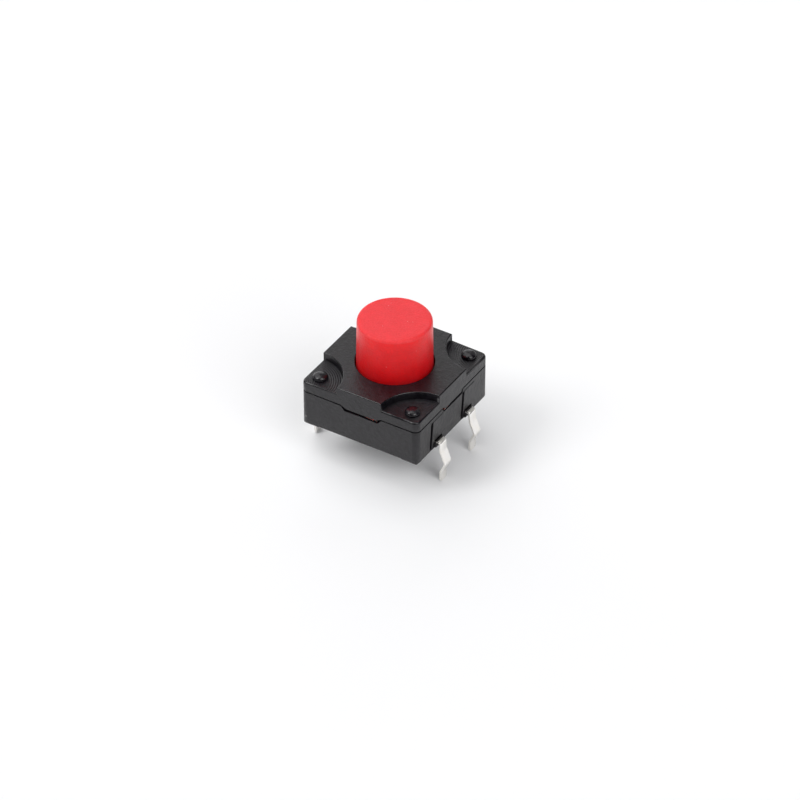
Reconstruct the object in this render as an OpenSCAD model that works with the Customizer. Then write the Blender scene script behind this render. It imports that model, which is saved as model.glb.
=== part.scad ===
// Square push button switch with a soft silicone button and four kinked solder pins.
// The part stands on its pin tips at z = 0, with the button's axis on +Z.
// The pins leave the two sides that face -X and +X.

/* [Body] */
// Width of the body across the two pin sides, along X
body_w = 12; // [11.5:0.1:16]
// Depth of the body along Y
body_d = 12; // [11.5:0.1:16]
// Radius of the body's upright corners
corner_r = 0.6; // [0.2:0.05:0.8]
// Height of the base, from its underside to its top rim
base_h = 3.31; // [2.7:0.01:5]
// Height of the corner feet below the underside
foot_h = 0.25; // [0.15:0.05:0.5]
// Length of a corner foot along X
foot_len = 1.7; // [1.2:0.1:2.2]
// Length of a corner foot along Y, beside the pins
foot_run = 2.25; // [1.5:0.05:2.3]
// Bevel round the lower outer edge of the feet
foot_bevel = 0.2; // [0.05:0.01:0.24]

/* [Base] */
// Thickness of the floor of the base
floor_t = 0.65; // [0.5:0.05:1]
// Depth of the recess that seats the silicone flange
seat_depth = 0.5; // [0.3:0.05:0.8]
// Thickness of the thin rim that stands round the flange
rim_t = 0.5; // [0.4:0.05:0.8]
// Width of the low pad behind each pin
pad_w = 2; // [1.7:0.1:2.4]
// Distance that the pads lie further from the middle of their side than the pins
pad_shift = 0.13; // [0.1:0.01:0.2]
// Distance that the pads stand out from the side face
pad_out = 0.03; // [0.02:0.01:0.1]
// Distance from the rim of the base down to the top of the pads
pad_drop = 0.38; // [0.36:0.01:0.8]
// Width of the groove along one edge of each pad
groove_w = 0.3; // [0.15:0.05:0.4]
// Distance from the underside up to the foot of the grooves
groove_rise = 0.15; // [0.05:0.05:0.5]
// Depth of the grooves from the side face
groove_depth = 0.25; // [0.1:0.05:0.35]
// Sideways lean of the grooves, from the underside to their top
groove_lean = 0.3; // [0:0.05:0.4]
// Width of the round noses that the pins are bent over, and of the mouths above them
nose_w = 1.24; // [1.22:0.01:1.5]
// Radius of the noses about their level axes
nose_r = 0.26; // [0.15:0.01:0.3]
// Height of a nose's axis above the underside
nose_rise = 0.25; // [0.2:0.01:0.3]
// Height of a mouth above the top face of the pin
mouth_room = 0.12; // [0.05:0.01:0.3]
// Depth of a mouth from the side face
mouth_depth = 0.3; // [0.1:0.05:0.4]

/* [Rivets] */
// Distance of each post's axis from the two nearest sides
post_inset = 1.25; // [1.1:0.05:1.5]
// Diameter of the posts
post_d = 0.95; // [0.7:0.05:1.1]
// Radial clearance of the posts in the cover
post_clearance = 0.04; // [0.02:0.01:0.08]
// Diameter of the low bosses round the posts that carry the cover
boss_d = 1.7; // [1.4:0.05:1.9]
// Diameter of the melted heads
head_d = 1.4; // [1.2:0.05:1.6]
// Height of the melted heads
head_h = 0.54; // [0.4:0.02:0.7]
// Height of the upright edge of the melted heads
head_edge = 0.2; // [0.05:0.01:0.25]

/* [Cover] */
// Gap that shows between the rims of base and cover
parting_gap = 0.12; // [0.04:0.01:0.16]
// Height of the cover's side at its corners, above the gap
cover_h = 0.97; // [0.8:0.01:1.5]
// Height of the raised middle above the corner pockets
plateau_h = 0.75; // [0.5:0.05:1.2]
// Radius of the quarter-round pockets, about the corners of the body
pocket_r = 3.72; // [3.3:0.01:3.8]
// Thickness of the cover round the button hole
ceiling_t = 0.8; // [0.6:0.05:1]
// Radial clearance round the button at the top of the cover
button_clearance = 0.1; // [0.08:0.01:0.3]
// Width of the tongues on the plain sides, at their lower edge
tongue_w = 3.1; // [2.5:0.1:3.6]
// Run of the sloping ends of those tongues
tongue_slope = 0.5; // [0.2:0.05:0.6]
// Distance of those tongues from the middle of their side, to the right as one faces it
tongue_shift = 0.2; // [0:0.05:0.3]
// Width of the tongues on the pin sides, at their lower edge
pin_tongue_w = 2.8; // [2.4:0.1:2.8]
// Run of the sloping ends of those tongues
pin_tongue_slope = 0.25; // [0.1:0.05:0.25]
// Length of a tongue below the cover's edge
tongue_drop = 0.28; // [0.2:0.01:0.4]
// Height of the slit under a tongue
tongue_slit = 0.26; // [0.14:0.01:0.3]
// Room at each end of a tongue
tongue_room = 0.15; // [0.05:0.05:0.15]

/* [Button] */
// Diameter of the button at the level of the cover
button_d = 6.84; // [5.5:0.01:7.2]
// How far the button's side leans in between the cover and the top
button_draft = 0.07; // [0:0.01:0.3]
// Height of the button above the cover
button_rise = 4.57; // [2:0.01:8]
// Radius of the button's upper edge
button_edge_r = 0.3; // [0.1:0.01:0.4]
// Distance that the button travels
travel = 1.2; // [0.6:0.05:1.5]
// Distance between the cover's inner face and the flat that carries the web
button_sink = 0.4; // [0.3:0.05:0.6]
// Diameter of the plunger that carries the contact pill
plunger_d = 3.8; // [3.2:0.1:4.4]
// Diameter of the contact pill
pill_d = 3.4; // [2.8:0.1:4]
// Thickness of the contact pill
pill_t = 0.3; // [0.2:0.05:0.5]
// Space that is left under the pill when the button is down
pill_room = 0.02; // [0.01:0.01:0.05]

/* [Skirt] */
// Thickness of the silicone web, measured level
web_t = 0.4; // [0.3:0.05:0.6]
// Distance that the web runs outward from the button to the flange
web_run = 1.1; // [0.8:0.05:1.4]
// Play between the flange and the rim and posts of the base
flange_play = 0.05; // [0.02:0.01:0.1]
// Distance from the body's side to the end of a lip in the slit
lip_inset = 0.22; // [0.1:0.01:0.4]
// Thickness of the lips in the slits
lip_t = 0.1; // [0.08:0.01:0.12]
// Width of the raised nib at one end of each lip
nib_w = 1; // [0.5:0.05:1.2]
// Distance from the body's side to the face of a nib
nib_inset = 0.03; // [0.02:0.01:0.2]

/* [Terminals] */
// Thickness of the terminal strip
strip_t = 0.25; // [0.2:0.05:0.3]
// Width of the terminal strip and its pins
strip_w = 1; // [0.8:0.05:1.2]
// Distance between the two terminals, along Y
pin_pitch = 5; // [4.2:0.1:6.2]
// Distance that the pins reach below the feet
pin_drop = 3.45; // [2.85:0.05:5]
// Radius of the pins' bends, at the middle of the strip
bend_r = 0.2; // [0.16:0.01:0.4]
// Distance from the body's side to the first bend of a pin
pin_out = 0.44; // [0.35:0.01:0.6]
// Distance from the first bend out to the shoulder of a pin
shoulder_out = 0.09; // [0:0.01:0.15]
// Distance from the feet down to the shoulder
shoulder_drop = 0.2; // [0.1:0.05:0.4]
// Distance from the first bend out to the knee of a pin
knee_out = 0.56; // [0.3:0.01:0.8]
// Distance from the feet down to the knee
knee_drop = 1.42; // [1.2:0.01:1.6]
// Distance from the first bend out to the ankle of a pin
ankle_out = 0.1; // [0.05:0.01:0.3]
// Distance from the feet down to the ankle
ankle_drop = 2.42; // [2.3:0.01:2.6]
// Distance from the first bend out to the tip of a pin
tip_out = 0.08; // [0:0.01:0.3]
// Bevel on the two corners of each tip
tip_bevel = 0.15; // [0.05:0.01:0.25]
// Length of a contact plate, along X
contact_l = 2.6; // [2:0.1:3.4]
// Distance between the two contact plates
contact_gap = 0.7; // [0.4:0.05:1]

/* [Hidden] */
// Facets of a full circle
fine = 96;
// Straight steps in each bend of a pin
bend_steps = 6;
// How far a cut runs past the face that it starts from
past = 0.5;

// Levels, from the pin tips up
feet_z = pin_drop;
under_z = feet_z + foot_h;
well_z = under_z + floor_t;
rim_z = under_z + base_h;
seat_z = rim_z - seat_depth;
cover_z = rim_z + parting_gap;
pocket_z = cover_z + cover_h;
plateau_z = pocket_z + plateau_h;
ceiling_z = plateau_z - ceiling_t;
web_z = ceiling_z - button_sink;
pill_z = well_z + travel + pill_room;
strip_z = well_z - strip_t / 2;
top_z = plateau_z + button_rise;
slit_z = cover_z - tongue_drop;

// Radii about the button's axis
button_r = button_d / 2;
hole_r = button_r + button_clearance;
button_top_r = button_r - button_draft;
well_r = button_r + web_run;
recess_r = well_r + flange_play;

// Half sizes of the flange and its seat, and the posts' places
seat_x = body_w / 2 - rim_t;
seat_y = body_d / 2 - rim_t;
post_x = body_w / 2 - post_inset;
post_y = body_d / 2 - post_inset;
seat_r = norm([post_x, post_y]) - boss_d / 2;

// Copies something to the four corners, mirrored
module corners() {
    for (mx = [0, 1], my = [0, 1])
        mirror([mx, 0, 0]) mirror([0, my, 0]) children();
}

// Copies what faces -Y to the middle of all four sides; a second child goes to the X sides
module sides() {
    for (turn = [0, 180]) {
        rotate(turn) translate([0, -body_d / 2, 0]) children(0);
        rotate(turn + 90) translate([0, -body_w / 2, 0]) children($children - 1);
    }
}

// Outline of the body with rounded corners
module body_outline() {
    difference() {
        square([body_w, body_d], center = true);
        corners()
            translate([body_w / 2, body_d / 2])
                difference() {
                    translate([-corner_r, -corner_r]) square(corner_r + past);
                    translate([-corner_r, -corner_r]) circle(corner_r, $fn = fine);
                }
    }
}

// Outline of the flange or of its seat: a square that the corner bosses bite into
module seat_outline(play) {
    intersection() {
        square([2 * (seat_x - play), 2 * (seat_y - play)], center = true);
        circle(seat_r - play, $fn = fine);
    }
}

// Bar with bevelled lower edges, long enough to cut the body's whole length
module bevelled_bar(width, length) {
    rotate([90, 0, 0])
        linear_extrude(length, center = true)
            polygon([
                [-width / 2, rim_z + past], [-width / 2, feet_z + foot_bevel],
                [-width / 2 + foot_bevel, feet_z], [width / 2 - foot_bevel, feet_z],
                [width / 2, feet_z + foot_bevel], [width / 2, rim_z + past],
            ]);
}

// Copies what faces +X to the four pins, or further out; the two sides are a half turn apart
module at_pins(shift = 0) {
    for (turn = [0, 180], side = [-1, 1])
        rotate(turn) translate([body_w / 2, side * (pin_pitch / 2 + shift), 0]) children();
}

// Copies a shape of the plain sides, and a second one of the pin sides, to the tongues' places
module at_tongues() {
    sides() {
        translate([tongue_shift, 0, 0]) children(0);
        children(1);
    }
}

// Tongue or notch with sloping ends that faces -Y, from a level up into the cover
module tongue(low_z, half, slope, thickness) {
    rotate([90, 0, 0])
        linear_extrude(2 * thickness, center = true)
            polygon([
                [-half, low_z], [half, low_z], [half + slope, cover_z],
                [half + slope, cover_z + cover_h / 2], [-half - slope, cover_z + cover_h / 2],
                [-half - slope, cover_z],
            ]);
}
module tongues(low_z, room, thickness) {
    at_tongues() {
        tongue(low_z, tongue_w / 2 + room, tongue_slope, thickness);
        tongue(low_z, pin_tongue_w / 2 + room, pin_tongue_slope, thickness);
    }
}

// Post with its melted head, about its own axis
module post() {
    translate([0, 0, rim_z - past]) cylinder(d = post_d, h = pocket_z - rim_z + past, $fn = fine);
    dome_h = head_h - head_edge;
    dome_r = (pow(head_d / 2, 2) + pow(dome_h, 2)) / (2 * dome_h);
    translate([0, 0, pocket_z])
        rotate_extrude($fn = fine)
            intersection() {
                square([head_d / 2, head_h]);
                translate([0, head_h - dome_r]) circle(dome_r, $fn = fine);
            }
}

module base() {
    color("#3a3a3c")
        difference() {
            union() {
                intersection() {
                    translate([0, 0, feet_z]) linear_extrude(rim_z - feet_z) body_outline();
                    bevelled_bar(body_w, body_d + past);
                    rotate(90) bevelled_bar(body_d, body_w + past);
                }
                corners()
                    translate([post_x, post_y, rim_z - past])
                        cylinder(d = boss_d, h = past + parting_gap, $fn = fine);
                corners() translate([post_x, post_y, 0]) post();
                at_pins(pad_shift) pad();
                at_pins() nose();
            }
            underside();
            translate([0, 0, well_z]) cylinder(r = well_r, h = base_h + past, $fn = fine);
            translate([0, 0, seat_z]) linear_extrude(seat_depth) seat_outline(0);
            tongues(slit_z - tongue_slit, tongue_room, rim_t + past);
            at_pins(pad_shift) groove();
            at_pins() mouth();
            terminal(-1);
            terminal(1);
        }
}

// What is taken away between the corner feet
module underside() {
    translate([-body_w / 2 + foot_len, -body_d / 2 - past, feet_z - past])
        cube([body_w - 2 * foot_len, body_d + 2 * past, foot_h + past]);
    translate([-body_w / 2 - past, -body_d / 2 + foot_run, feet_z - past])
        cube([body_w + 2 * past, body_d - 2 * foot_run, foot_h + past]);
}

// Low pad behind a pin
module pad() {
    translate([-past, -pad_w / 2, under_z])
        cube([past + pad_out, pad_w, rim_z - pad_drop - under_z]);
}

// Round nose that a pin is bent over
module nose() {
    translate([0, 0, under_z + nose_rise])
        rotate([90, 0, 0]) cylinder(r = nose_r, h = nose_w, center = true, $fn = fine);
}

// Leaning groove along one edge of a pad
module groove() {
    foot_y = -(pad_w + groove_w + groove_lean) / 2;
    top_y = foot_y + groove_lean;
    foot_z = under_z + groove_rise;
    rotate([90, 0, 90])
        translate([0, 0, -groove_depth])
            linear_extrude(groove_depth + past)
                polygon([
                    [foot_y, foot_z], [foot_y + groove_w, foot_z],
                    [top_y + groove_w, rim_z - pad_drop], [top_y, rim_z - pad_drop],
                ]);
}

// Mouth that a pin leaves through, above its nose
module mouth() {
    translate([-mouth_depth, -nose_w / 2, strip_z])
        cube([mouth_depth + past, nose_w, strip_t / 2 + mouth_room]);
}

module cover() {
    color("#3f3f41")
        difference() {
            union() {
                translate([0, 0, cover_z]) linear_extrude(plateau_z - cover_z) body_outline();
                intersection() {
                    translate([0, 0, slit_z]) linear_extrude(tongue_drop + cover_h / 2) body_outline();
                    tongues(slit_z, 0, rim_t);
                }
            }
            corners()
                translate([body_w / 2, body_d / 2, pocket_z])
                    cylinder(r = pocket_r, h = plateau_h + past, $fn = fine);
            corners()
                translate([post_x, post_y, cover_z - past])
                    cylinder(d = post_d + 2 * post_clearance, h = cover_h + 2 * past, $fn = fine);
            translate([0, 0, cover_z - past])
                cylinder(r = recess_r, h = ceiling_z - cover_z + past, $fn = fine);
            cylinder(r = hole_r, h = plateau_z + past, $fn = fine);
        }
}

module button() {
    edge_x = button_top_r - button_edge_r;
    edge_z = top_z - button_edge_r;
    color("#d8262e")
        rotate_extrude($fn = fine)
            union() {
                polygon([
                    [0, web_z], [button_r, web_z], [button_r, plateau_z],
                    [button_top_r, edge_z], [edge_x, edge_z], [edge_x, top_z], [0, top_z],
                ]);
                intersection() {
                    translate([edge_x, edge_z]) circle(button_edge_r, $fn = fine);
                    translate([edge_x, edge_z]) square(button_edge_r);
                }
                translate([0, pill_z + pill_t])
                    square([plunger_d / 2, web_z - pill_z - pill_t + past]);
            }
}

module button_skirt() {
    color("#c41f28") {
        rotate_extrude($fn = fine)
            polygon([
                [button_r - web_t, web_z], [button_r, web_z],
                [well_r, cover_z], [well_r + web_t, cover_z], [well_r + web_t, seat_z],
                [well_r, seat_z], [well_r - web_t, seat_z + web_t / 2],
            ]);
        difference() {
            union() {
                translate([0, 0, seat_z])
                    linear_extrude(cover_z - seat_z) seat_outline(flange_play);
                at_tongues() {
                    lip(tongue_w, 1);
                    lip(pin_tongue_w, -1);
                }
            }
            cylinder(r = well_r, h = top_z, $fn = fine);
        }
    }
}

// Lip of the flange in the slit under a tongue, with its nib towards one end
module lip(width, nib_end) {
    lip_w = width + tongue_room;
    lip_z = slit_z - lip_t;
    translate([-lip_w / 2, lip_inset, lip_z])
        cube([lip_w, rim_t, lip_t]);
    translate([nib_end * (lip_w - nib_w) / 2 - nib_w / 2, nib_inset, lip_z])
        cube([nib_w, rim_t, lip_t]);
}

module contact_pill() {
    color("#1c1c1e")
        translate([0, 0, pill_z]) cylinder(d = pill_d, h = pill_t, $fn = fine);
}

// Points of a round bend between two straight runs, at a distance to the left of the middle line
function unit(v) = v / norm(v);
function left_of(v) = [-v[1], v[0]];
function bend(before, corner, after, side) =
    let (
        d0 = unit(corner - before),
        d1 = unit(after - corner),
        turn = atan2(cross(d0, d1), d0 * d1),
        way = turn > 0 ? 1 : -1,
        start = corner - d0 * bend_r * tan(abs(turn) / 2),
        centre = start + left_of(d0) * bend_r * way,
        a0 = atan2(d0[1], d0[0]) - 90 * way
    )
    [for (i = [0:bend_steps])
        let (a = a0 + turn * i / bend_steps)
        centre + (bend_r - side * way) * [cos(a), sin(a)]];

// One edge of a strip that follows a path, at a distance to the left of the middle line
function strip_edge(path, side) =
    let (last = len(path) - 1)
    [
        path[0] + left_of(unit(path[1] - path[0])) * side,
        for (i = [1:last - 1])
            each bend(path[i - 1], path[i], path[i + 1], side),
        path[last] + left_of(unit(path[last] - path[last - 1])) * side,
    ];
function reversed(list) = [for (i = [len(list) - 1:-1:0]) list[i]];

// Middle line of one pin, from the body outward and down past the tip, in X and Z
function pin_path() =
    let (
        x = body_w / 2 + pin_out,
        ankle = [x + ankle_out, feet_z - ankle_drop],
        tip = [x + tip_out, 0]
    )
    [
        [x, strip_z],
        [x + shoulder_out, feet_z - shoulder_drop],
        [x + knee_out, feet_z - knee_drop],
        ankle,
        tip + past * unit(tip - ankle),
    ];

// Stamped strip with two pins and one contact plate; side is -1 in front and 1 behind
module terminal(side) {
    right = pin_path();
    left = [for (p = reversed(right)) [-p[0], p[1]]];
    path = concat(left, right);
    contact_w = (pin_pitch - contact_gap) / 2;
    contact_y = side > 0 ? contact_gap / 2 : -contact_gap / 2 - contact_w;
    bevel_side = sqrt(2) * tip_bevel;
    difference() {
        union() {
            translate([0, side * pin_pitch / 2, 0])
                rotate([90, 0, 0])
                    linear_extrude(strip_w, center = true)
                        polygon(concat(strip_edge(path, strip_t / 2),
                                       reversed(strip_edge(path, -strip_t / 2))));
            translate([-contact_l / 2, contact_y, strip_z - strip_t / 2])
                cube([contact_l, contact_w, strip_t]);
        }
        for (edge = [-1, 1])
            translate([0, side * pin_pitch / 2 + edge * strip_w / 2, 0])
                rotate([45, 0, 0])
                    cube([2 * body_w, bevel_side, bevel_side], center = true);
        translate([-body_w, -body_d, -2 * past]) cube(2 * [body_w, body_d, past]);
    }
}
module terminal_front() { color("#d9d8d2") terminal(-1); }
module terminal_rear() { color("#d9d8d2") terminal(1); }

base();
cover();
button();
button_skirt();
contact_pill();
terminal_front();
terminal_rear();
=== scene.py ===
"""Looks of a square push button switch: soft-edged shells, silicone button, plated pins, studio."""
import math

import bmesh
import bpy
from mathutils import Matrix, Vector, noise


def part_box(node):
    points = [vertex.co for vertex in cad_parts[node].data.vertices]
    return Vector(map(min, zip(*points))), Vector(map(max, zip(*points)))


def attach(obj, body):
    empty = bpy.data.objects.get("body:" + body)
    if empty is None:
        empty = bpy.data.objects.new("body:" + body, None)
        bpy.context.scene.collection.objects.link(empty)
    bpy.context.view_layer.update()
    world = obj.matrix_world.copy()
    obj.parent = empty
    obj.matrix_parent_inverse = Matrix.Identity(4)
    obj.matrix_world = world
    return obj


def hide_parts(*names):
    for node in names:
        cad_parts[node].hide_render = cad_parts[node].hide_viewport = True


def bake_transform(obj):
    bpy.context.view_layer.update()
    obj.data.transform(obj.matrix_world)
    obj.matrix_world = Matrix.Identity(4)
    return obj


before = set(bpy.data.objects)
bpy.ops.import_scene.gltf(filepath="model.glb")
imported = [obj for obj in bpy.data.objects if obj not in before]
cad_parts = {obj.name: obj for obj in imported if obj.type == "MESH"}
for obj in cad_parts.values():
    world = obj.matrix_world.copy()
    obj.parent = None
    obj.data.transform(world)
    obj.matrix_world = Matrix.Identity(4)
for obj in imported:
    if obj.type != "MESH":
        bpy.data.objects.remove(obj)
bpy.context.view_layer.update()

MM = 0.001

# Camera: the direction it looks from, in degrees, its distance and aim, and its lens in mm
VIEW_AZIMUTH = 31.64
VIEW_ELEVATION = 37.94
VIEW_DISTANCE = 400 * MM
VIEW_AIM = Vector((0.16, 0.61, 4.10)) * MM
LENS = 202.9
SENSOR = 36

# Cleaning and rounding of the CAD meshes
WELD = 0.001 * MM
CUT_TOLERANCE = 0.0001 * MM
FLAT_ANGLE = math.radians(0.6)
SHARP_ANGLE = math.radians(32)
ROUND_STEPS = 3

# Edge radii, none of them larger than MOST_ROUND
MOST_ROUND = 0.18 * MM
RIM_ROUND = 0.1 * MM
SEAM_ROUND = 0.025 * MM
PARTING_ROUND = 0.012 * MM
HOLE_ROUND = 0.07 * MM
FOOT_ROUND = 0.1 * MM
PIN_ROUND = 0.07 * MM

# How near an edge lies to the level or the hole whose radius it gets
NEAR_GROUND = 0.01 * MM
NEAR_FOOT = 0.22 * MM
NEAR_RIM = 0.02 * MM
NEAR_PARTING = 0.2 * MM
NEAR_LEVEL = 0.1 * MM
NEAR_HOLE = 0.3 * MM

# Material slots of a soft-edged shell: its rounded edges, and the dull faces of a strip
EDGE_SLOT = 1
DULL_SLOT = 2

# Dull are the faces of a strip that turn upwards at a bend, or sideways where it was cut
TURNED_UP = 0.5
TURNED_SIDEWAYS = 0.9

# Height of the cover's side above the base's rim, with the parting gap
COVER_SIDE = 1.09 * MM

# The melted heads on the four posts; LUMP_SHIFT gives each its own place in the noise
HEAD_RADIUS = 0.7 * MM
HEAD_HEIGHT = 0.54 * MM
HEAD_INSET = 0.04 * MM
HEAD_ROOT = 0.08 * MM
HEAD_SQUASH = 0.7
HEAD_RINGS = 18
HEAD_STEPS = 48
LUMP_DEPTH = 0.16 * MM
LUMP_SIZE = 0.6 * MM
LUMP_SHIFT = 7.3
POST_RADIUS = 0.475 * MM
POST_INSET = 1.25 * MM

# The button, its web and its contact pill
BUTTON_DRAFT = 0.07 * MM
BUTTON_EDGE = 0.3 * MM
BUTTON_FLAT_RINGS = (0, 0.25, 0.5, 0.75, 0.9, 0.97)
BUTTON_EDGE_STEPS = 8
BUTTON_SIDE_RINGS = 12
BUTTON_STEPS = 160
PLUNGER_RADIUS = 1.9 * MM
PILL_EDGE = 0.05 * MM
PILL_EDGE_STEPS = 3
PILL_STEPS = 96

# Lamps: name, azimuth and elevation in degrees, level, and spread in degrees
LAMPS = (
    ("high_left", -88, 65, 0.35, 60),
    ("low_back", -130, 15, 0.27, 60),
    ("back", 180, 20, 0.09, 60),
    ("right", 68, 40, 0.41, 40),
    ("front_left", -42, 45, 0.33, 22),
    ("overhead", 0, 90, 0.15, 60),
)
ROOM_LEVEL = 0.01

# The table: half its width in metres, its colours, and how much plain white lifts its shadow
TABLE_HALF = 1.5
TABLE_WHITE = (0.94, 0.94, 0.95, 1)
LIFT_WHITE = (0.97, 0.98, 1.0, 1)
SHADOW_LIFT = 0.12

# Colours of the materials, and from which to which the cloudy ones vary
BLACK = ((0.0005, 0.0, 0.001), (0.011, 0.009, 0.013))
BLACK_DUST = (0.28, 0.27, 0.26)
RED_SIDE = ((0.84, 0.004, 0.008), (0.92, 0.007, 0.012))
# The top's paler colour: partly its matt finish, partly a painted sheen
RED_TOP_AND_SHEEN = ((0.82, 0.040, 0.050), (0.88, 0.052, 0.064))
RED_GRAIN = (0.62, 0.012, 0.018)
RED_DUST = (0.95, 0.75, 0.72)
# The silicone's darker colour by the body's sides: partly soil, partly painted shade
SHADE_AND_SOIL = (0.05, 0.042, 0.042)
CARBON = ((0.008, 0.008, 0.009), (0.03, 0.03, 0.032))
SILVER = ((0.93, 0.90, 0.84), (0.97, 0.955, 0.94))

# How much of the plastic's uneven shine is grain, and how strongly dust and grain are coloured
GRAIN_IN_SHINE = 0.5
BLACK_DUST_SHARE = 0.5
RED_GRAIN_SHARE = 0.3
RED_DUST_SHARE = 0.6
SPECK_CORE = 0.6

# The silicone's roughness and grain, from its sides to its top, and its soft inner light
RED_ROUGHNESS = (0.28, 0.52)
RED_ROUGHNESS_CLOUD = 0.08
RED_COARSENESS = (0.8, 1.2)
RED_REACH = (1.0, 0.2, 0.15)
RED_REACH_SCALE = 1.6 * MM

# Where the silicone changes: depths below the button's top, and insets from the body's sides where
# it darkens, partly with soil and partly with painted shade
TOP_COLOUR_DEPTHS = (BUTTON_EDGE, 0.22 * MM)
TOP_GLOSS_DEPTHS = (0.1 * MM, 0.02 * MM)
SHADE_AND_SOIL_INSETS = (0.6 * MM, 0.3 * MM)

# The part of the noise's own range that is spread over 0 to 1
NOISE_RANGE = (0.3, 0.7)

# Marks of use and moulding; their places are measured from the part's origin
RING_PITCH = 0.2 * MM
RING_BAND = 0.02 * MM
GATE_PLACE = Vector((-5.07, -2.40, 8.10)) * MM
GATE_RADIUS = 0.17 * MM
GATE_BAND = 0.03 * MM
GATE_HEIGHT = 3.0
SCUFF_PLACE = Vector((-5.51, -6.00, 4.38)) * MM
SCUFF_CORE = 0.04 * MM
SCUFF_RADIUS = 0.14 * MM

# The streaks of the silver run along its strips, which lie in the XZ plane
STREAK_STRETCH = (0.25, 1.0, 0.25)

base_low, base_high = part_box("base")
cover_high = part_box("cover")[1]
button_low, button_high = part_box("button")
skirt_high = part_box("button_skirt")[1]
pill_low, pill_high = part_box("contact_pill")

body_half = cover_high.x
post_place = body_half - POST_INSET
pocket_z = base_high.z - HEAD_HEIGHT
rim_z = pocket_z - COVER_SIDE
plateau_z = cover_high.z
web_z = skirt_high.z


# ---------------------------------------------------------------- meshes

def new_object(name, mesh):
    """Puts a finished bmesh into a new smooth-shaded object."""
    data = bpy.data.meshes.new(name)
    mesh.to_mesh(data)
    mesh.free()
    data.shade_smooth()
    made = bpy.data.objects.new(name, data)
    bpy.context.scene.collection.objects.link(made)
    return made


def cad_copy(node):
    """The CAD node's mesh with its split vertices joined and its flat faces merged."""
    mesh = bmesh.new()
    mesh.from_mesh(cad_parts[node].data)
    bmesh.ops.remove_doubles(mesh, verts=mesh.verts, dist=WELD)
    bmesh.ops.dissolve_limit(mesh, angle_limit=FLAT_ANGLE, verts=mesh.verts, edges=mesh.edges)
    return mesh


def soft_edged(name, mesh, radius_at):
    """An object whose sharp outward edges are rounded, by radius_at(middle of the edge)."""
    weight = mesh.edges.layers.float.new("bevel_weight_edge")
    for edge in mesh.edges:
        if edge.calc_face_angle() > SHARP_ANGLE:
            middle = (edge.verts[0].co + edge.verts[1].co) / 2
            edge[weight] = radius_at(middle) / MOST_ROUND if edge.is_convex else 0
            edge.smooth = edge[weight] > 0
    made = new_object(name, mesh)
    bevel = made.modifiers.new("round", "BEVEL")
    bevel.limit_method = "WEIGHT"
    bevel.width = MOST_ROUND
    bevel.segments = ROUND_STEPS
    bevel.use_clamp_overlap = False
    bevel.loop_slide = False
    bevel.material = EDGE_SLOT
    made.modifiers.new("normals", "WEIGHTED_NORMAL").keep_sharp = True
    return made


def lathe(profile, steps):
    """Turns a profile of (radius, z) about the Z axis; its two ends lie on the axis."""
    mesh = bmesh.new()
    rings = []
    for radius, z in profile:
        if radius == 0:
            rings.append([mesh.verts.new((0, 0, z))] * steps)
            continue
        rings.append([
            mesh.verts.new((radius * math.cos(turn), radius * math.sin(turn), z))
            for turn in (2 * math.pi * i / steps for i in range(steps))
        ])
    for upper, lower in zip(rings, rings[1:]):
        for i in range(steps):
            j = (i + 1) % steps
            corners = dict.fromkeys([upper[i], lower[i], lower[j], upper[j]])
            mesh.faces.new(list(corners))
    bmesh.ops.recalc_face_normals(mesh, faces=mesh.faces)
    return mesh


def arc(centre_r, centre_z, radius, start, end, steps):
    """Profile points of an arc, with its angles in degrees from the outward direction."""
    turns = [math.radians(start + (end - start) * i / steps) for i in range(steps + 1)]
    return [(centre_r + radius * math.cos(t), centre_z + radius * math.sin(t)) for t in turns]


# ---------------------------------------------------------------- pieces

def base_radius(middle):
    """Edge radius of the base: widest on the feet, finest at the parting line."""
    if middle.z < base_low.z + NEAR_GROUND:
        return SEAM_ROUND
    if middle.z < base_low.z + NEAR_FOOT:
        return FOOT_ROUND
    return PARTING_ROUND if middle.z > rim_z - NEAR_RIM else SEAM_ROUND


def cover_radius(middle):
    """Edge radius of the cover: widest on the pockets' outer edges, finest at the parting line."""
    if math.hypot(middle.x, middle.y) < button_high.x + NEAR_HOLE:
        return HOLE_ROUND
    if abs(middle.z - plateau_z) < NEAR_LEVEL:
        return RIM_ROUND
    if abs(middle.z - pocket_z) > NEAR_LEVEL:
        return SEAM_ROUND if middle.z > rim_z + NEAR_PARTING else PARTING_ROUND
    from_post = math.hypot(abs(middle.x) - post_place, abs(middle.y) - post_place)
    return 0 if from_post < HEAD_RADIUS else MOST_ROUND


def make_base():
    """The base, with its posts cut off inside the melted heads that stand on them."""
    mesh = cad_copy("base")
    cut_z = pocket_z - HEAD_ROOT / 2
    everything = mesh.verts[:] + mesh.edges[:] + mesh.faces[:]
    bmesh.ops.bisect_plane(
        mesh, geom=everything, dist=CUT_TOLERANCE,
        plane_co=(0, 0, cut_z), plane_no=(0, 0, 1), clear_outer=True)
    bmesh.ops.holes_fill(mesh, edges=[e for e in mesh.edges if e.is_boundary], sides=0)
    made = soft_edged("base_shell", mesh, base_radius)
    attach(made, "housing")
    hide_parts("base")
    return made


def make_cover():
    made = soft_edged("cover_shell", cad_copy("cover"), cover_radius)
    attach(made, "housing")
    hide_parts("cover")
    return made


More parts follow.
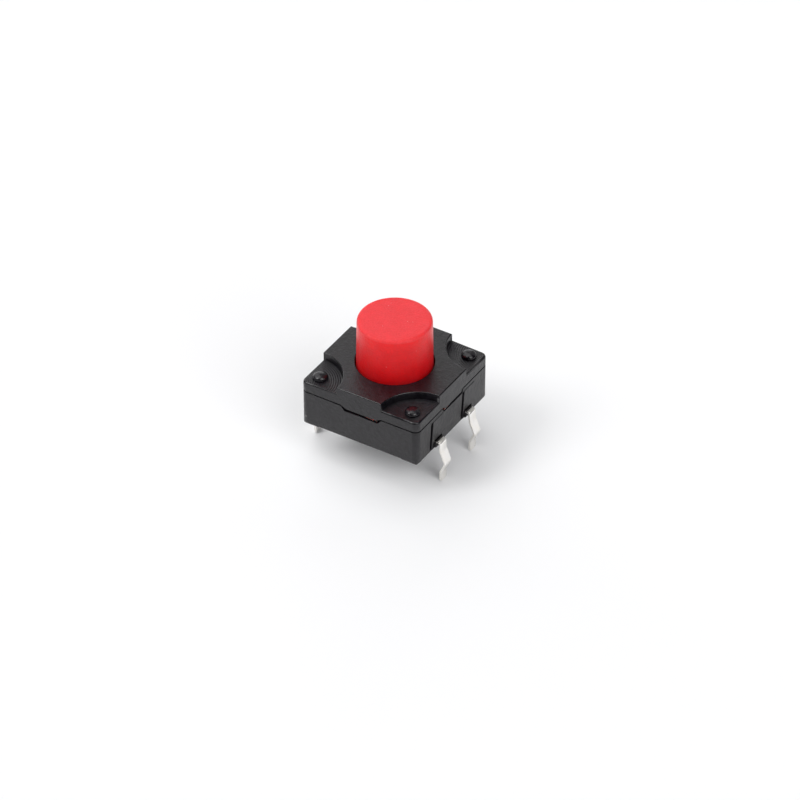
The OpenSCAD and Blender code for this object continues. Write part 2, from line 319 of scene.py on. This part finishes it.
def make_rivet_head(index, x, y):
    """One melted head: a squashed, lumpy dome on the end of its post."""
    turns = [math.pi / 2 * i / HEAD_RINGS for i in range(1, HEAD_RINGS)]
    profile = [(0, pocket_z + HEAD_HEIGHT)]
    for turn in turns:
        radius = HEAD_RADIUS * math.sin(turn) ** HEAD_SQUASH
        profile.append((radius, pocket_z + HEAD_HEIGHT * math.cos(turn) ** HEAD_SQUASH))
    profile += [(HEAD_RADIUS - HEAD_INSET, pocket_z), (POST_RADIUS, pocket_z)]
    profile += [(POST_RADIUS, pocket_z - HEAD_ROOT), (0, pocket_z - HEAD_ROOT)]
    mesh = lathe(profile, HEAD_STEPS)
    shift = Vector((LUMP_SHIFT * index, 0, 0))
    for vert in mesh.verts:
        share = max(vert.co.z - pocket_z, 0) / HEAD_HEIGHT
        lump = 0.5 + 0.5 * noise.noise(vert.co / LUMP_SIZE + shift)
        vert.co.z -= share * lump * LUMP_DEPTH
        vert.co += Vector((x, y, 0))
    made = new_object(f"rivet_head_{index}", mesh)
    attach(made, "housing")
    return made


def make_button():
    """The button: a tapered cap with a rounded edge, and the plunger under it."""
    radius = button_high.x
    top_radius = radius - BUTTON_DRAFT
    top, low = button_high.z, button_low.z
    edge_r, edge_z = top_radius - BUTTON_EDGE, top - BUTTON_EDGE
    profile = [(edge_r * share, top) for share in BUTTON_FLAT_RINGS]
    profile += arc(edge_r, edge_z, BUTTON_EDGE, 90, 0, BUTTON_EDGE_STEPS)
    for i in range(1, BUTTON_SIDE_RINGS + 1):
        side_r = top_radius + (radius - top_radius) * i / BUTTON_SIDE_RINGS
        profile.append((side_r, edge_z + (plateau_z - edge_z) * i / BUTTON_SIDE_RINGS))
    profile += [(radius, web_z), (PLUNGER_RADIUS, web_z), (PLUNGER_RADIUS, low), (0, low)]
    made = new_object("button_cap", lathe(profile, BUTTON_STEPS))
    made.modifiers.new("normals", "WEIGHTED_NORMAL")
    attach(made, "button")
    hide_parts("button")
    return made


def make_pill():
    """The contact pill under the plunger: a disc with rounded edges."""
    edge_r = pill_high.x - PILL_EDGE
    top, low = pill_high.z, pill_low.z
    profile = [(0, top)] + arc(edge_r, top - PILL_EDGE, PILL_EDGE, 90, 0, PILL_EDGE_STEPS)
    profile += arc(edge_r, low + PILL_EDGE, PILL_EDGE, 0, -90, PILL_EDGE_STEPS) + [(0, low)]
    made = new_object("contact_disc", lathe(profile, PILL_STEPS))
    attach(made, "button")
    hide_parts("contact_pill")
    return made


def make_skirt():
    """Flange, lips and web, in one piece that stays where it is seated."""
    made = new_object("skirt", cad_copy("button_skirt"))
    made.modifiers.new("normals", "WEIGHTED_NORMAL")
    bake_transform(made)
    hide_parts("button_skirt")
    return made


def make_terminal(end):
    """Two pins and the strip that joins them."""
    made = soft_edged(f"pins_{end}", cad_copy(f"terminal_{end}"), lambda middle: PIN_ROUND)
    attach(made, "housing")
    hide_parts(f"terminal_{end}")
    return made


# ---------------------------------------------------------------- materials

def add(tree, kind, inputs=None, **settings):
    """Adds a shader node; inputs maps its sockets to values or to other nodes' outputs."""
    made = tree.nodes.new(kind)
    for key, value in settings.items():
        setattr(made, key, value)
    for key, value in (inputs or {}).items():
        if isinstance(value, bpy.types.NodeSocket):
            tree.links.new(value, made.inputs[key])
        else:
            made.inputs[key].default_value = value
    return made


def new_material(name):
    made = bpy.data.materials.new(name)
    made.use_nodes = True
    tree = made.node_tree
    return made, tree, tree.nodes["Principled BSDF"]


def paint(pieces, *materials):
    """Gives each piece the materials, in the order of its slots."""
    for piece in pieces:
        piece.data.materials.clear()
        for material in materials:
            piece.data.materials.append(material)


def dull_cut_sides(terminal):
    """Moves a painted strip's cut sides, and the upward faces of its bends, to the dull slot."""
    for face in terminal.data.polygons:
        bend = face.normal.z > TURNED_UP and abs(face.center.x) > body_half
        side = abs(face.normal.y) > TURNED_SIDEWAYS
        face.material_index = DULL_SLOT if bend or side else 0


def mix_colour(tree, share, low, high):
    """Goes from one colour to another with share; each is a triple or a node's output."""
    made = add(tree, "ShaderNodeMix", {0: share}, data_type="RGBA")
    colour_sockets = [socket for socket in made.inputs if socket.type == "RGBA"]
    for socket, colour in zip(colour_sockets, (low, high)):
        if isinstance(colour, bpy.types.NodeSocket):
            tree.links.new(colour, socket)
        else:
            socket.default_value = (*colour, 1)
    return next(socket for socket in made.outputs if socket.type == "RGBA")


def map_range(tree, value, source, target):
    """Maps a value from one (low, high) range to another, clamped at both ends."""
    return add(tree, "ShaderNodeMapRange", {
        "Value": value,
        "From Min": source[0], "From Max": source[1],
        "To Min": target[0], "To Max": target[1],
    }).outputs["Result"]


def maths(tree, operation, *values):
    return add(tree, "ShaderNodeMath", dict(enumerate(values)), operation=operation).outputs[0]


def times(tree, *values):
    return maths(tree, "MULTIPLY", *values)


def plus(tree, *values):
    return maths(tree, "ADD", *values)


def object_place(tree):
    """The shaded place, in the part's own coordinates."""
    return add(tree, "ShaderNodeTexCoord").outputs["Object"]


def axes_of(tree, place):
    """The X, Y and Z of the shaded place."""
    return add(tree, "ShaderNodeSeparateXYZ", {0: place}).outputs


def distance(tree, place, point):
    """Distance of the shaded place from a point of the part."""
    made = add(tree, "ShaderNodeVectorMath", {0: place, 1: point}, operation="DISTANCE")
    return made.outputs["Value"]


def noise_of(tree, place, size, detail):
    """Noise whose lumps are about that size, in mm; its values are spread over 0 to 1."""
    settings = {"Vector": place, "Scale": 1 / (size * MM), "Detail": detail}
    level = add(tree, "ShaderNodeTexNoise", settings).outputs["Fac"]
    return map_range(tree, level, NOISE_RANGE, (0, 1))


def specks(tree, place, spacing, radius, share):
    """1 on tiny scattered dust specks, sizes in mm; share is how many of the places are taken."""
    settings = {"Vector": place, "Scale": 1 / (spacing * MM)}
    cells = add(tree, "ShaderNodeTexVoronoi", settings).outputs
    edge = (SPECK_CORE * radius / spacing, radius / spacing)
    near = map_range(tree, cells["Distance"], edge, (1, 0))
    lot = add(tree, "ShaderNodeSeparateColor", {0: cells["Color"]}).outputs[0]
    return times(tree, near, maths(tree, "LESS_THAN", lot, share))


def roughen(tree, shader, height, depth):
    """Bumps the surface by a height from 0 to 1 that stands for that depth, in mm."""
    bump = add(tree, "ShaderNodeBump", {"Strength": 1.0, "Distance": depth * MM, "Height": height})
    tree.links.new(bump.outputs["Normal"], shader.inputs["Normal"])


def pocket_marks(tree, place):
    """Height of the cutter rings on the pocket floors, about the body's corners, and the gate."""
    part = axes_of(tree, place)
    across = maths(tree, "SUBTRACT", body_half, maths(tree, "ABSOLUTE", part["X"]))
    along = maths(tree, "SUBTRACT", body_half, maths(tree, "ABSOLUTE", part["Y"]))
    squares = plus(tree, maths(tree, "POWER", across, 2.0), maths(tree, "POWER", along, 2.0))
    from_corner = maths(tree, "SQRT", squares)
    wave = maths(tree, "SINE", times(tree, from_corner, 2 * math.pi / RING_PITCH))
    on_floor = maths(tree, "COMPARE", part["Z"], pocket_z, RING_BAND)
    from_gate = distance(tree, place, GATE_PLACE)
    gate = maths(tree, "COMPARE", from_gate, GATE_RADIUS, GATE_BAND)
    return plus(tree, times(tree, wave, on_floor), times(tree, gate, GATE_HEIGHT))


def black_plastic(name, roughness, depth, marked):
    """Satin moulded plastic: cloudy, dusty and finely grained to that depth, in mm."""
    made, tree, shader = new_material(name)
    place = object_place(tree)
    cloud = noise_of(tree, place, size=1.1, detail=4)
    grain = noise_of(tree, place, size=0.12, detail=2)
    pits = noise_of(tree, place, size=0.28, detail=2)
    mottle = noise_of(tree, place, size=0.4, detail=3)
    colour = mix_colour(tree, mottle, *BLACK)
    from_scuff = distance(tree, place, SCUFF_PLACE)
    scuff = map_range(tree, from_scuff, (SCUFF_CORE, SCUFF_RADIUS), (1, 0))
    scattered = specks(tree, place, spacing=0.7, radius=0.03, share=0.3)
    dust = times(tree, maths(tree, "MAXIMUM", scattered, scuff), BLACK_DUST_SHARE)
    tree.links.new(mix_colour(tree, dust, colour, BLACK_DUST), shader.inputs["Base Color"])
    shine = plus(tree, cloud, times(tree, grain, GRAIN_IN_SHINE))
    rough = map_range(tree, shine, (0, 1 + GRAIN_IN_SHINE), roughness)
    tree.links.new(rough, shader.inputs["Roughness"])
    height = plus(tree, grain, pits)
    if marked:
        height = plus(tree, height, pocket_marks(tree, place))
    roughen(tree, shader, height, depth)
    return made


def red_silicone():
    """Soft red silicone: matt and paler on top, the paleness partly painted sheen; dusty; darker by
    the body's sides, partly soil and partly painted shade.
    """
    made, tree, shader = new_material("silicone_red")
    place = object_place(tree)
    part = axes_of(tree, place)
    top = button_high.z
    colour_zone = [top - depth for depth in TOP_COLOUR_DEPTHS]
    gloss_zone = [top - depth for depth in TOP_GLOSS_DEPTHS]
    shade_and_soil_zone = [body_half - inset for inset in SHADE_AND_SOIL_INSETS]
    on_top = map_range(tree, part["Z"], colour_zone, (0, 1))
    rough = map_range(tree, part["Z"], gloss_zone, RED_ROUGHNESS)
    across, along = (maths(tree, "ABSOLUTE", part[axis]) for axis in "XY")
    # Darker next to the body's sides: partly soil, partly painted shade
    shade_and_soil = map_range(tree, maths(tree, "MAXIMUM", across, along), shade_and_soil_zone, (0, 1))
    cloud = noise_of(tree, place, size=0.7, detail=5)
    grain = noise_of(tree, place, size=0.17, detail=2)
    side_colour = mix_colour(tree, cloud, *RED_SIDE)
    # The top's paler colour is partly its matt finish and partly a painted sheen
    top_colour_and_sheen = mix_colour(tree, cloud, *RED_TOP_AND_SHEEN)
    colour = mix_colour(tree, on_top, side_colour, top_colour_and_sheen)
    colour = mix_colour(tree, times(tree, grain, RED_GRAIN_SHARE), colour, RED_GRAIN)
    scattered = specks(tree, place, spacing=0.5, radius=0.035, share=0.3)
    colour = mix_colour(tree, times(tree, scattered, RED_DUST_SHARE), colour, RED_DUST)
    tree.links.new(mix_colour(tree, shade_and_soil, colour, SHADE_AND_SOIL), shader.inputs["Base Color"])
    rough = plus(tree, rough, times(tree, cloud, RED_ROUGHNESS_CLOUD))
    tree.links.new(rough, shader.inputs["Roughness"])
    shader.inputs["IOR"].default_value = 1.42
    shader.inputs["Subsurface Weight"].default_value = 1.0
    shader.inputs["Subsurface Radius"].default_value = RED_REACH
    shader.inputs["Subsurface Scale"].default_value = RED_REACH_SCALE
    coarse = map_range(tree, on_top, (0, 1), RED_COARSENESS)
    roughen(tree, shader, times(tree, grain, coarse), depth=0.02)
    return made


def conductive_rubber():
    """Matt carbon-filled rubber of the contact pill."""
    made, tree, shader = new_material("carbon_rubber")
    place = object_place(tree)
    grain = noise_of(tree, place, size=0.15, detail=4)
    tree.links.new(mix_colour(tree, grain, *CARBON), shader.inputs["Base Color"])
    shader.inputs["Roughness"].default_value = 0.8
    roughen(tree, shader, grain, depth=0.01)
    return made


def silver_plate(name, roughness):
    """Satin silver plating: faintly streaked along the strip, a little tarnished in places."""
    made, tree, shader = new_material(name)
    place = object_place(tree)
    stretched = add(tree, "ShaderNodeMapping", {"Vector": place, "Scale": STREAK_STRETCH})
    streaks = noise_of(tree, stretched.outputs[0], size=0.06, detail=2)
    cloud = noise_of(tree, place, size=0.6, detail=4)
    tree.links.new(mix_colour(tree, cloud, *SILVER), shader.inputs["Base Color"])
    shader.inputs["Metallic"].default_value = 1
    tree.links.new(map_range(tree, cloud, (0, 1), roughness), shader.inputs["Roughness"])
    roughen(tree, shader, plus(tree, streaks, cloud), depth=0.001)
    return made


# ---------------------------------------------------------------- studio

def towards(azimuth, elevation):
    """Unit vector from the object towards a place at that azimuth and elevation, in degrees."""
    a, e = math.radians(azimuth), math.radians(elevation)
    return Vector((math.sin(a) * math.cos(e), -math.cos(a) * math.cos(e), math.sin(e)))


def add_camera():
    data = bpy.data.cameras.new("camera")
    data.lens = LENS
    data.sensor_width = SENSOR
    camera = bpy.data.objects.new("camera", data)
    bpy.context.scene.collection.objects.link(camera)
    back = towards(VIEW_AZIMUTH, VIEW_ELEVATION)
    camera.location = VIEW_AIM + back * VIEW_DISTANCE
    camera.rotation_mode = "QUATERNION"
    camera.rotation_quaternion = (-back).to_track_quat("-Z", "Y")
    bpy.context.scene.camera = camera


def add_floor():
    """A white table; plain white lifts its shadow for the camera, in gloss and through glass."""
    mesh = bmesh.new()
    bmesh.ops.create_grid(mesh, x_segments=1, y_segments=1, size=TABLE_HALF)
    floor = new_object("floor", mesh)
    made, tree, shader = new_material("white_table")
    shader.inputs["Base Color"].default_value = TABLE_WHITE
    shader.inputs["Roughness"].default_value = 0.5
    shader.inputs["Specular IOR Level"].default_value = 0.3
    path = add(tree, "ShaderNodeLightPath").outputs
    seen = maths(tree, "MAXIMUM", path["Is Camera Ray"], path["Is Glossy Ray"])
    seen = maths(tree, "MAXIMUM", seen, path["Is Transmission Ray"])
    white = add(tree, "ShaderNodeEmission", {"Color": LIFT_WHITE, "Strength": 1.0})
    mixed = add(tree, "ShaderNodeMixShader", {
        0: times(tree, seen, SHADOW_LIFT), 1: shader.outputs[0], 2: white.outputs[0],
    })
    tree.links.new(mixed.outputs[0], tree.nodes["Material Output"].inputs["Surface"])
    paint([floor], made)


def add_sun(name, azimuth, elevation, level, spread):
    """A far soft lamp; level is how bright it renders a white surface that faces it."""
    data = bpy.data.lights.new(name, "SUN")
    data.energy = level * math.pi
    data.angle = math.radians(spread)
    lamp = bpy.data.objects.new(name, data)
    lamp.rotation_mode = "QUATERNION"
    lamp.rotation_quaternion = (-towards(azimuth, elevation)).to_track_quat("-Z", "Y")
    bpy.context.scene.collection.objects.link(lamp)


def add_world():
    """A faint even white room, at full white where the camera sees it."""
    world = bpy.data.worlds.new("room")
    world.use_nodes = True
    bpy.context.scene.world = world
    tree = world.node_tree
    seen = add(tree, "ShaderNodeLightPath").outputs["Is Camera Ray"]
    background = tree.nodes["Background"]
    background.inputs["Color"].default_value = (1, 1, 1, 1)
    strength = map_range(tree, seen, (0, 1), (ROOM_LEVEL, 1))
    tree.links.new(strength, background.inputs["Strength"])


base = make_base()
cover = make_cover()
posts = [(x, y) for y in (-post_place, post_place) for x in (-post_place, post_place)]
heads = [make_rivet_head(index, x, y) for index, (x, y) in enumerate(posts, start=1)]
button = make_button()
pill = make_pill()
skirt = make_skirt()
terminals = [make_terminal(end) for end in ("front", "rear")]

paint(
    [base, cover],
    black_plastic("moulded_black", roughness=(0.28, 0.42), depth=0.012, marked=True),
    black_plastic("worn_black", roughness=(0.18, 0.28), depth=0.005, marked=False))
paint(heads, black_plastic("melted_black", roughness=(0.2, 0.32), depth=0.006, marked=False))
paint([button, skirt], red_silicone())
paint([pill], conductive_rubber())
paint(
    terminals,
    silver_plate("plated_silver", roughness=(0.12, 0.24)),
    silver_plate("rubbed_silver", roughness=(0.1, 0.2)),
    silver_plate("cut_silver", roughness=(0.5, 0.65)))
for terminal in terminals:
    dull_cut_sides(terminal)

add_camera()
add_floor()
add_world()
for lamp in LAMPS:
    add_sun(*lamp)

bpy.context.scene.view_settings.view_transform = "Standard"
